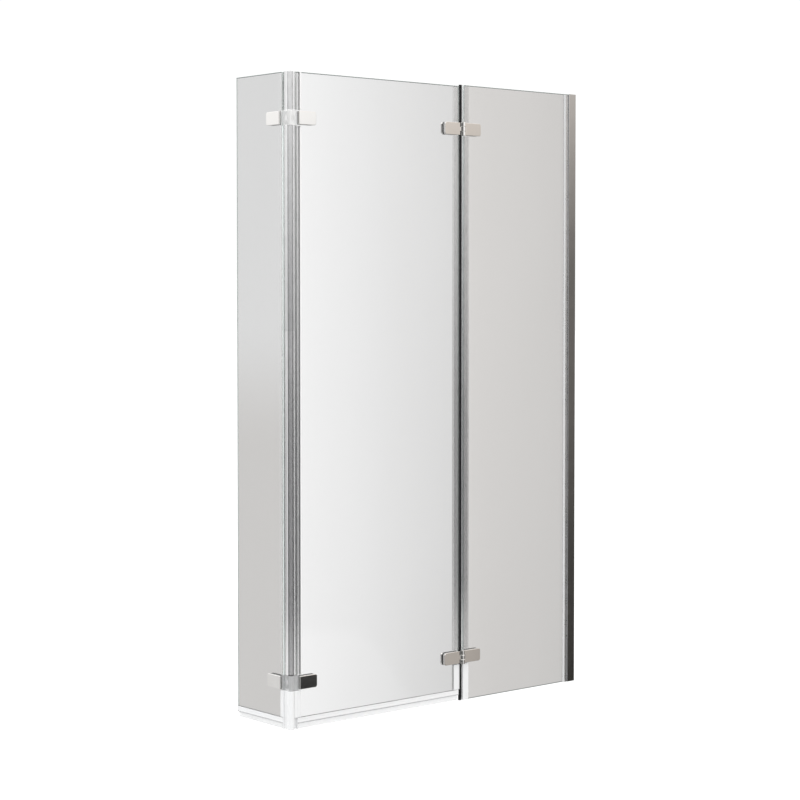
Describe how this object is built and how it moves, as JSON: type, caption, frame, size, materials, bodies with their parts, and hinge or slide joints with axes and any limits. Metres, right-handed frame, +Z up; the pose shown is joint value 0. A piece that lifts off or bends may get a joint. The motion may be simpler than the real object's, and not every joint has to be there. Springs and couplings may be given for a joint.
{
  "type": "bath screen",
  "caption": "Folding L-shaped glass bath screen: a fixed pane in a chrome wall channel, a swinging pane and a short return pane on clamp hinges, with clear edge and wiper seals.",
  "frame": {"origin": "on the wall, at the back of the wall profile, in the middle plane of the fixed glass, at the rim of the bath", "axes": "+X into the wall, so the screen runs along -X; +Y into the bath; +Z up"},
  "size_m": [0.8615, 0.1967, 1.4],
  "materials": {
    "glass": "clear toughened glass, polished edges",
    "profile_chrome": "bright chrome-look anodised",
    "inner_aluminium": "bright anodised",
    "cap_chrome": "chrome-plated plastic",
    "hinge_chrome": "polished chrome",
    "screw_steel": "plain stainless",
    "pin_steel": "ground stainless",
    "bearing_nylon": "natural nylon",
    "hinge_gasket": "translucent grey elastomer",
    "glazing_rubber": "pale glazing rubber",
    "dark_bulb": "smooth black soft strip",
    "clear_seal": "clear extruded vinyl"
  },
  "bodies": {
    "wall_side": {"fixed_clamp_gaskets": "hinge_gasket", "fixed_clamp_screws": "screw_steel", "fixed_edge_seal": "clear_seal", "fixed_glass": "glass", "fixed_leaf_gaskets": "hinge_gasket", "inner_profile": "inner_aluminium", "joint_bulb_strip": "dark_bulb", "lower_middle_hinge_fixed_clamp": "hinge_chrome", "lower_middle_hinge_fixed_leaf": "hinge_chrome", "lower_middle_hinge_pin": "pin_steel", "lower_middle_hinge_washers": "bearing_nylon", "profile_gasket": "glazing_rubber", "profile_top_cap": "cap_chrome", "side_fixing_screws": "screw_steel", "side_screw_caps": "cap_chrome", "upper_middle_hinge_fixed_clamp": "hinge_chrome", "upper_middle_hinge_fixed_leaf": "hinge_chrome", "upper_middle_hinge_pin": "pin_steel", "upper_middle_hinge_washers": "bearing_nylon", "wall_profile": "profile_chrome"},
    "middle_panel": {"lower_corner_hinge_bush": "bearing_nylon", "lower_corner_hinge_middle_leaf": "hinge_chrome", "lower_corner_hinge_middle_plate": "hinge_chrome", "lower_middle_hinge_bush": "bearing_nylon", "lower_middle_hinge_swing_clamp": "hinge_chrome", "lower_middle_hinge_swing_leaf": "hinge_chrome", "middle_bottom_seal": "clear_seal", "middle_clamp_gaskets": "hinge_gasket", "middle_clamp_screws": "screw_steel", "middle_corner_seal": "clear_seal", "middle_edge_seal": "clear_seal", "middle_glass": "glass", "middle_leaf_gaskets": "hinge_gasket", "upper_corner_hinge_bush": "bearing_nylon", "upper_corner_hinge_middle_leaf": "hinge_chrome", "upper_corner_hinge_middle_plate": "hinge_chrome", "upper_middle_hinge_bush": "bearing_nylon", "upper_middle_hinge_swing_clamp": "hinge_chrome", "upper_middle_hinge_swing_leaf": "hinge_chrome"},
    "return_panel": {"lower_corner_hinge_pin": "pin_steel", "lower_corner_hinge_return_leaf": "hinge_chrome", "lower_corner_hinge_return_plate": "hinge_chrome", "lower_corner_hinge_washers": "bearing_nylon", "return_bottom_seal": "clear_seal", "return_clamp_gaskets": "hinge_gasket", "return_clamp_screws": "screw_steel", "return_corner_seal": "clear_seal", "return_glass": "glass", "return_leaf_gaskets": "hinge_gasket", "upper_corner_hinge_pin": "pin_steel", "upper_corner_hinge_return_leaf": "hinge_chrome", "upper_corner_hinge_return_plate": "hinge_chrome", "upper_corner_hinge_washers": "bearing_nylon"}
  },
  "joints": [
    {"name": "middle_hinge", "type": "hinge", "parent": "wall_side", "child": "middle_panel", "pos_m": [-0.36305, -0.0095, 0], "axis": [0, 0, 1], "range_deg": [0, 120]},
    {"name": "corner_hinge", "type": "hinge", "parent": "middle_panel", "child": "return_panel", "pos_m": [-0.84355, 0.0095, 0], "axis": [0, 0, -1], "range_deg": [0, 90]}
  ]
}
